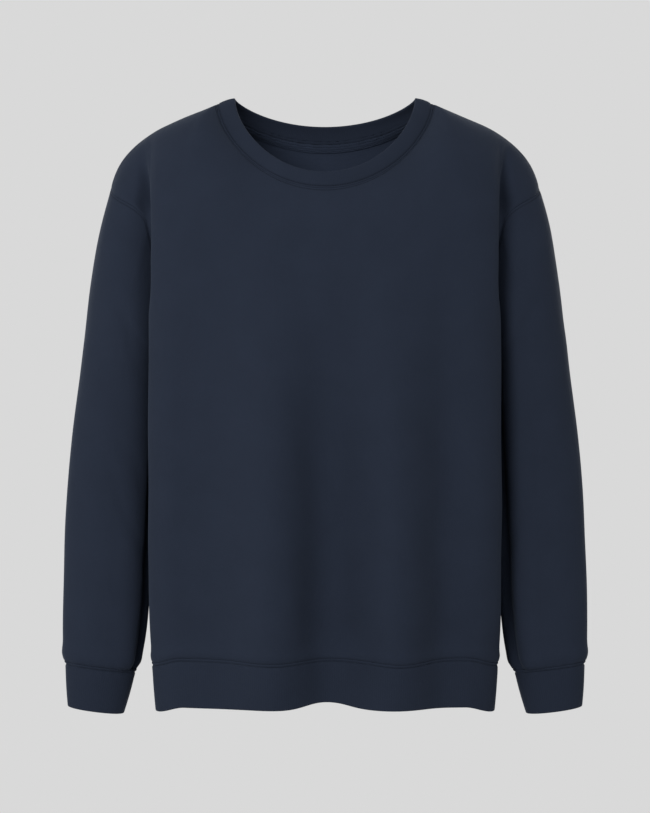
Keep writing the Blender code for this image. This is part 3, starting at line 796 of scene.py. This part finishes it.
def knit_pattern(material, ridges):
    """The columns of a knit, and its height: upright ribs, or the V stitches of jersey."""
    do = sums(material)
    cloth_uv = wire(material, "ShaderNodeUVMap", uv_map="cloth").outputs["UV"]
    split = wire(material, "ShaderNodeSeparateXYZ", {"Vector": cloth_uv}).outputs
    across, up = split["X"], split["Y"]
    if ridges:
        wale = do("ABSOLUTE", do("SINE", do("MULTIPLY", across, math.pi / RIB_PITCH)))
        stitch = do("SINE", do("MULTIPLY", up, 2 * math.pi / COURSE))
        return wale, do("MULTIPLY_ADD", stitch, RIB_STITCH, do("POWER", wale, RIB_ROUNDNESS))
    zigzag = do("PINGPONG", do("DIVIDE", across, WALE), 0.5)
    course = do("MULTIPLY_ADD", zigzag, V_SLANT, do("DIVIDE", up, COURSE))
    stitch = do("SINE", do("MULTIPLY", course, 2 * math.pi))
    wale = do("ABSOLUTE", do("SINE", do("MULTIPLY", across, math.pi / WALE)))
    return wale, do("MULTIPLY_ADD", stitch, JERSEY_STITCH, do("POWER", wale, JERSEY_ROUNDNESS))


print("jersey columns", 1000 * WALE, "mm apart, ribs", 1000 * RIB_PITCH, "mm apart")

# %% [markdown]
# A shade between dark and light multiplies the yarn's colour: paler in patches and at single hairs, which
# is the yarn's own uneven tone, and darker in the grooves between the columns, which is painted shade. The
# values that are the same all over go straight on the shader. The inside of fleece is brushed until its
# loops stand up as a nap, which looks paler than the face. The tape is a paler jersey, made paler still by
# a painted highlight along its raised ridge. The sewing thread is made darker than the cloth: that is
# painted shade, for the shadow of the groove that the thread pulls.

# %% Materials
CLOTH_LOOK = {
    "Roughness": 0.92,
    "Specular IOR Level": 0.05,
    "Sheen Weight": 0.04,
    "Sheen Roughness": 0.45,
    "Sheen Tint": (0.55, 0.68, 0.90, 1.0),
}
PATCH_SHADE, HAIR_SHADE = 0.16, 0.30
# how much paler the columns are than the grooves between them: painted shade in the grooves
COLUMN_PAINTED_SHADE, GROOVE_PAINTED_SHADE = 0.12, 0.92


def finish(name, ridges, tint=1.0):
    """A navy knit. A tint under 1 is darker, and over 1 paler."""
    material = bpy.data.materials.new(name)
    material.use_nodes = True
    do = sums(material)
    wale, height = knit_pattern(material, ridges)
    hairs = noise(material, HAIR_SCALE, 3.0)
    knit = raised(material, height, KNIT_RELIEF)
    soft = raised(material, noise(material, LUMP_SCALE, 4.0), LUMP_RELIEF, knit)
    fuzz = raised(material, hairs, HAIR_RELIEF, soft)
    shade = do("MULTIPLY_ADD", do("SUBTRACT", noise(material, PATCH_SCALE, 3.0), 0.5), PATCH_SHADE, 1.0)
    shade = do("MULTIPLY_ADD", do("SUBTRACT", hairs, 0.5), HAIR_SHADE, shade)
    # painted shade: the grooves between the knit columns are darker than the columns
    shade = do("MULTIPLY", shade, do("MULTIPLY_ADD", wale, COLUMN_PAINTED_SHADE, GROOVE_PAINTED_SHADE * tint))
    inputs = {0: NAVY, "Scale": shade}
    colour = wire(material, "ShaderNodeVectorMath", inputs, operation="SCALE").outputs["Vector"]
    shader = material.node_tree.nodes["Principled BSDF"]
    material.node_tree.links.new(colour, shader.inputs["Base Color"])
    material.node_tree.links.new(fuzz, shader.inputs["Normal"])
    for socket, value in CLOTH_LOOK.items():
        shader.inputs[socket].default_value = value
    return material


fleece = finish("navy_fleece_knit", ridges=False)
brushed = finish("navy_fleece_inside", ridges=False, tint=1.80)
rib = finish("navy_rib_knit", ridges=True, tint=0.91)
# the thread is made darker than the cloth as painted shade, for the shadow of its groove
thread = finish("navy_thread_painted_shade", ridges=False, tint=0.35)
# the tape is a paler jersey, and its extra paleness is a painted highlight along its raised ridge
tape_cloth_painted_highlight = finish("navy_tape_painted_highlight", ridges=False, tint=1.75)
print("materials:", ", ".join(knit.name for knit in (fleece, brushed, rib, thread, tape_cloth_painted_highlight)))

# %% [markdown]
# ## From net to cloth
#
# A grid is laid on the net, the first and last column of a tube are merged, and the skin is extruded
# inwards to give the wall. The UV map is measured along the cloth before anything is merged. The inner
# skin can have a material of its own, which fleece needs for its brushed inside.

# %% The wall of a piece
SHARP_ANGLE = math.radians(60)
WELD = 1e-6


def cloth(name, node, outer, inner, material, inside=None):
    """A wall between an outer and an inner net."""
    rows, columns = outer.shape[:2]
    bm = bmesh.new()
    place = bm.verts.layers.int.new("place")
    bmesh.ops.create_grid(bm, x_segments=columns - 1, y_segments=rows - 1, size=1)
    bm.verts.ensure_lookup_table()
    uv = bm.loops.layers.uv.new("cloth")
    across, up = lengths(outer, 1), lengths(outer, 0)
    flat = np.stack([across - across[:, columns // 2, None], up], axis=-1).reshape(-1, 2)
    for face in bm.faces:
        for loop in face.loops:
            loop[uv].uv = flat[loop.vert.index]
    outer_points, inner_points = outer.reshape(-1, 3), inner.reshape(-1, 3)
    for index, vertex in enumerate(bm.verts):
        vertex[place] = index
        vertex.co = outer_points[index]
    bmesh.ops.remove_doubles(bm, verts=bm.verts, dist=WELD)
    skin = bmesh.ops.extrude_face_region(bm, geom=bm.faces[:])
    for element in skin["geom"]:
        if isinstance(element, bmesh.types.BMVert):
            element.co = inner_points[element[place]]
        elif inside and isinstance(element, bmesh.types.BMFace):
            element.material_index = 1
    bmesh.ops.recalc_face_normals(bm, faces=bm.faces)
    return finished(name, bm, material, node, inside)


def finished(name, bm, material, node, inside=None):
    """The object of a mesh, smooth but for its edges, in the frame's one body."""
    mesh = bpy.data.meshes.new(name)
    bm.to_mesh(mesh)
    bm.free()
    for skin in filter(None, (material, inside)):
        mesh.materials.append(skin)
    mesh.shade_smooth()
    mesh.set_sharp_from_angle(angle=SHARP_ANGLE)
    made = bpy.data.objects.new(name, mesh)
    bpy.context.scene.collection.objects.link(made)
    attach(made, "root")
    if node:
        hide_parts(node)
    return made


print("edges of over", round(math.degrees(SHARP_ANGLE)), "degrees stay sharp")

# %% [markdown]
# ## Folded bands
#
# A rib band is one strip folded double, with the fold at its free edge. Its profile runs down the
# outside, round the fold and back up the inside, so the free edge is as round and soft as a real one. At
# the seam the two layers are pressed flat. They touch all over, so they are made as one wall.

# %% The wall of a band
FOLD_STEPS = 7
FLAT_AT_SEAM = 0.006


def band(name, node, outer, normals, material):
    """A folded band round an outer net, from its seam to its free edge."""
    down = lengths(outer, 0)
    wall = (FLEECE + (RIB_FOLDED - FLEECE) * ease(down / FLAT_AT_SEAM))[..., None]
    reach = unit(outer[-1] - outer[-2])
    turns = np.linspace(0, math.pi, FOLD_STEPS + 1)[1:-1]
    radius = RIB_FOLDED / 2
    flat = outer - reach * radius * ease(down / down[-1])[..., None] ** 4
    fold = [
        flat[-1] + radius * (reach * math.sin(turn) - normals[-1] * (1 - math.cos(turn)))
        for turn in turns
    ]
    loop = np.concatenate([flat, fold, (flat - normals * wall)[::-1], flat[:1]])
    bm = bmesh.new()
    bmesh.ops.create_grid(bm, x_segments=loop.shape[1] - 1, y_segments=loop.shape[0] - 1, size=1)
    bm.verts.ensure_lookup_table()
    uv = bm.loops.layers.uv.new("cloth")
    across = np.broadcast_to(lengths(outer, 1)[0], loop.shape[:2])
    laid_out = np.stack([across, lengths(loop, 0)], axis=-1).reshape(-1, 2)
    for face in bm.faces:
        for corner in face.loops:
            corner[uv].uv = laid_out[corner.vert.index]
    for vertex, point in zip(bm.verts, loop.reshape(-1, 3)):
        vertex.co = point
    bmesh.ops.remove_doubles(bm, verts=bm.verts, dist=WELD)
    bmesh.ops.recalc_face_normals(bm, faces=bm.faces)
    return finished(name, bm, material, node)


print("a band's fold is turned in", FOLD_STEPS, "steps")

# %% [markdown]
# ## Cut and place the pieces
#
# The panels and sleeves become single walls, and the four bands folded ones.

# %% Front, back, sleeves and bands
for name in ("front", "back", "sleeve_left", "sleeve_right"):
    inner = outer[name] - normals[name] * FLEECE
    cloth("cloth_" + name, name, outer[name], inner, fleece, brushed)
for name in ("neckband", "hem_band", "cuff_left", "cuff_right"):
    band("cloth_" + name, name, outer[name], normals[name], rib)

# %% [markdown]
# ## Tape inside the back neck
#
# The raw edges of the back neck seam would scratch, so a narrow tape is sewn over them on the inside. It
# follows the back panel's own points, moved in by the thickness of the cloth, and starts a little above
# the seam, so that it covers the line between the panel and the neckband.

# %% Neck tape
TAPE_WIDTH, TAPE_LIFT, TAPE_OVERLAP, TAPE_LINES = 0.0085, 0.0006, 0.0013, 9


def level_line(values, run, distance):
    """A line across a net at a distance along the cloth from its first row."""
    columns = zip(np.moveaxis(run, 1, 0), np.moveaxis(values, 1, 0))
    line = [[np.interp(distance, at, column[:, axis]) for axis in range(3)] for at, column in columns]
    return np.array(line)


back_top, back_facing = outer["back"][::-1, NECK], normals["back"][::-1, NECK]
back_run = lengths(back_top, 0)
tape_at = np.linspace(0.0, TAPE_WIDTH, TAPE_LINES)
tape_lines = [level_line(back_top, back_run, down) for down in tape_at]
tape_facing = [unit(level_line(back_facing, back_run, down)) for down in tape_at]
over_seam = unit(tape_lines[0] - tape_lines[1])
tape_lines.insert(0, tape_lines[0] + over_seam * TAPE_OVERLAP)
tape_facing.insert(0, tape_facing[0])
tape_facing = np.array(tape_facing)[:, 1:-1]
tape_outer = np.array(tape_lines)[:, 1:-1] - tape_facing * (FLEECE + TAPE_LIFT)
tape_inner = tape_outer - tape_facing * TAPE
cloth("cloth_neck_tape", "neck_tape", tape_outer, tape_inner, tape_cloth_painted_highlight)
print("tape", round(float(lengths(tape_outer, 1)[0, -1]), 3), "m long")

# %% [markdown]
# ## Stitches
#
# Each row of machine stitches lies in the groove that its thread pulls. One stitch is a slim bead a
# couple of millimetres long. The neckline has a row on each side of its seam, from a twin needle. The
# armholes, hem and cuffs have one row beside the seam, which holds the seam's edges flat. The tape has
# one along each edge. One bead is made once and copied along the line, turned to lie along the seam and
# to face out of the cloth.

# %% Rows of stitches
STITCH_LENGTH, STITCH_PITCH, STITCH_WIDTH, STITCH_HEIGHT = 0.0022, 0.0028, 0.0008, 0.0005
STITCH_LIFT = 0.0001
TAPE_EDGE_UPPER, TAPE_EDGE_LOWER = 0.0014, 0.0012
bm = bmesh.new()
bmesh.ops.create_uvsphere(bm, u_segments=6, v_segments=4, radius=0.5)
bmesh.ops.scale(bm, vec=(STITCH_LENGTH, STITCH_WIDTH, STITCH_HEIGHT), verts=bm.verts)
bead = bpy.data.meshes.new("bead")
bm.to_mesh(bead)
bm.free()


def stitch_row(name, slot, line, facing):
    """Stitches along a line on the cloth. facing is the cloth's direction at each of its points."""
    run = np.concatenate([[0.0], np.cumsum(np.linalg.norm(np.diff(line, axis=0), axis=1))])
    count = int(run[-1] / STITCH_PITCH)
    at = (np.arange(count) + 0.5) * run[-1] / count
    half = STITCH_LENGTH / 2
    place, up, ahead, behind = (
        np.stack([np.interp(where, run, values[:, axis]) for axis in range(3)], axis=-1)
        for where, values in ((at, line), (at, facing), (at + half, line), (at - half, line))
    )
    bm = bmesh.new()
    for centre, normal, tangent in zip(place, unit(up), unit(ahead - behind)):
        side = unit(np.cross(normal, tangent))
        turn = Matrix(np.stack([tangent, side, np.cross(tangent, side)], axis=1).tolist()).to_4x4()
        placed = bead.copy()
        placed.transform(Matrix.Translation(centre + normal * STITCH_LIFT) @ turn)
        bm.from_mesh(placed)
        bpy.data.meshes.remove(placed)
    bmesh.ops.recalc_face_normals(bm, faces=bm.faces)
    # the stitches' dark thread is painted shade for the grooves they lie in
    return finished(name, bm, thread, None)


def beside(name, distance, last=False):
    """A line at a distance from the first or last row of a piece, with its facing."""
    net, facing = (values[name][::-1] if last else values[name] for values in (outer, normals))
    run = lengths(net, 0)
    return level_line(net, run, distance), level_line(facing, run, distance)


neck_lines = [beside(name, NECK_STITCH, last=True) for name in ("front", "back")]
neck_lower = [ring_of(neck_lines[0][part][NECK], neck_lines[1][part][NECK]) for part in (0, 1)]
hem_lines = [beside(name, BAND_STITCH) for name in ("front", "back")]
hem_upper = [ring_of(hem_lines[0][part], hem_lines[1][part]) for part in (0, 1)]
rows = {
    "neckband": [stitch_row("stitches_neckband", "rib", *beside("neckband", NECK_STITCH))],
    "front": [
        stitch_row("stitches_neckline", "fleece", *neck_lower),
        stitch_row("stitches_hem", "fleece", *hem_upper),
    ],
}
for side in ("left", "right"):
    sleeve_name = "sleeve_" + side
    rows[sleeve_name] = [
        stitch_row("stitches_armhole_" + side, "fleece", *beside(sleeve_name, ARMHOLE_STITCH)),
        stitch_row("stitches_cuff_" + side, "fleece", *beside(sleeve_name, BAND_STITCH, last=True)),
    ]
tape_run = lengths(tape_inner, 0)
rows["neck_tape"] = []
for label, down in (("upper", TAPE_EDGE_UPPER), ("lower", TAPE_WIDTH - TAPE_EDGE_LOWER)):
    at = TAPE_OVERLAP + down
    line, facing = (level_line(values, tape_run, at) for values in (tape_inner, -tape_facing))
    rows["neck_tape"].append(stitch_row("stitches_tape_" + label, "fleece", line, facing))
print("stitch rows:", sum(len(group) for group in rows.values()))

# %% [markdown]
# ## The flat cut
#
# A pattern maker needs the flat size of every piece. It is measured along the cloth, through every fold.
# The panels and sleeves aren't rectangles, so their area is measured too. The width of a panel is taken
# along the armpits. Rib is cut a little shorter than what it is sewn to, and stretched on.

# %% Flat sizes
RIB_EASE = 0.92
TAPE_CUT_WIDTH = 0.010
BANDS = ("neckband", "hem_band", "cuff_left", "cuff_right")


def area_of(net):
    a, b = net[1:, :-1] - net[:-1, :-1], net[:-1, 1:] - net[:-1, :-1]
    return float(np.linalg.norm(np.cross(a, b), axis=-1).sum())


SEWN_TO = {
    "front": ("back",),
    "back": ("front",),
    "sleeve_left": ("front", "back"),
    "sleeve_right": ("front", "back"),
    "neckband": ("front", "back"),
    "hem_band": ("front", "back"),
    "cuff_left": ("sleeve_left",),
    "cuff_right": ("sleeve_right",),
    "neck_tape": ("back",),
}
flat_nets = {**outer, "neck_tape": tape_outer}
for name, neighbours in SEWN_TO.items():
    net = flat_nets[name]
    widest = ARMPIT_ROW if name in ("front", "back") else int(lengths(net, 1)[:, -1].argmax())
    width, length = float(lengths(net, 1)[widest, -1]), float(lengths(net, 0)[-1].max())
    area, held = area_of(net), "hung"
    if name in BANDS:
        width, area, held = RIB_EASE * float(lengths(net, 1)[0, -1]), None, "stretched"
    elif name == "neck_tape":
        length, area = TAPE_CUT_WIDTH, None
    print(f"{name}: {width:.3f} x {length:.3f} m" + ("" if area is None else f", {area:.3f} square metres"))

# %% [markdown]
# ## Floor, light and camera
#
# Dark cloth needs little light from all round and soft lamps from the sides, or its folds don't show. A
# pale world gives the light from all round and the plain background. The key lamp stands in front, to the
# wearer's right, so each upright fold has a bright and a dark side. The others keep the sleeves and the
# shoulders from going black. A disk lamp over a metre wide gives shadows with soft edges, as a studio
# lamp with a cloth over it does. The camera looks straight from the front, from a distance at which the
# garment keeps its true proportions.

# %% Stage
FLOOR_Z, FLOOR_RADIUS, FLOOR_GREY = -1.45, 2.6, 0.45
BACKGROUND_GREY = 0.694
LAMP_SIZE, LAMP_TARGET = 1.2, Vector((0, 0, -0.35))
Lamp = namedtuple("Lamp", "name place watts")
LAMPS = (
    Lamp("key", (-1.085, -2.687, 0.426), 67),
    Lamp("fill", (1.45, -2.51, 0.43), 14),
    Lamp("side", (-2.94, -0.26, 0.17), 26),
    Lamp("back_left", (1.41, 2.44, 0.68), 45),
    Lamp("back_right", (-1.41, 2.44, 0.68), 30),
)


def grey(value):
    return (value, value, value, 1)


bm = bmesh.new()
bmesh.ops.create_circle(bm, cap_ends=True, segments=96, radius=FLOOR_RADIUS)
bmesh.ops.translate(bm, verts=bm.verts, vec=(0, 0, FLOOR_Z))
floor_mesh = bpy.data.meshes.new("floor")
bm.to_mesh(floor_mesh)
bm.free()
floor = bpy.data.objects.new("floor", floor_mesh)
bpy.context.scene.collection.objects.link(floor)
pale = bpy.data.materials.new("pale_floor")
pale.use_nodes = True
pale.node_tree.nodes["Principled BSDF"].inputs["Base Color"].default_value = grey(FLOOR_GREY)
pale.node_tree.nodes["Principled BSDF"].inputs["Roughness"].default_value = 0.9
floor_mesh.materials.append(pale)

world = bpy.data.worlds.new("studio")
world.use_nodes = True
world.node_tree.nodes["Background"].inputs["Color"].default_value = grey(BACKGROUND_GREY)
world.node_tree.nodes["Background"].inputs["Strength"].default_value = 1.0
bpy.context.scene.world = world
bpy.context.scene.view_settings.view_transform = "Standard"

for row in LAMPS:
    light = bpy.data.lights.new(row.name, "AREA")
    light.shape = "DISK"
    light.size = LAMP_SIZE
    light.energy = row.watts
    lamp = bpy.data.objects.new(row.name, light)
    lamp.location = row.place
    lamp.rotation_euler = (LAMP_TARGET - Vector(row.place)).to_track_quat("-Z", "Y").to_euler()
    bpy.context.scene.collection.objects.link(lamp)
print("lamps:", {row.name: row.watts for row in LAMPS})

# %% Camera
METRES_PER_PIXEL = 0.00115
IMAGE_WIDTH, IMAGE_HEIGHT = 650, 813
NECK_POINT_ROW = 104
DISTANCE = 2.8

camera = bpy.data.cameras.new("camera")
camera.sensor_fit = "HORIZONTAL"
camera.sensor_width = 36.0
camera.lens = camera.sensor_width * DISTANCE / (IMAGE_WIDTH * METRES_PER_PIXEL)
view = bpy.data.objects.new("camera", camera)
view.location = (0, -DISTANCE, (NECK_POINT_ROW - IMAGE_HEIGHT / 2) * METRES_PER_PIXEL)
view.rotation_euler = (math.pi / 2, 0, 0)
bpy.context.scene.collection.objects.link(view)
bpy.context.scene.camera = view
print("lens", round(camera.lens, 1), "mm, camera", DISTANCE, "m away")
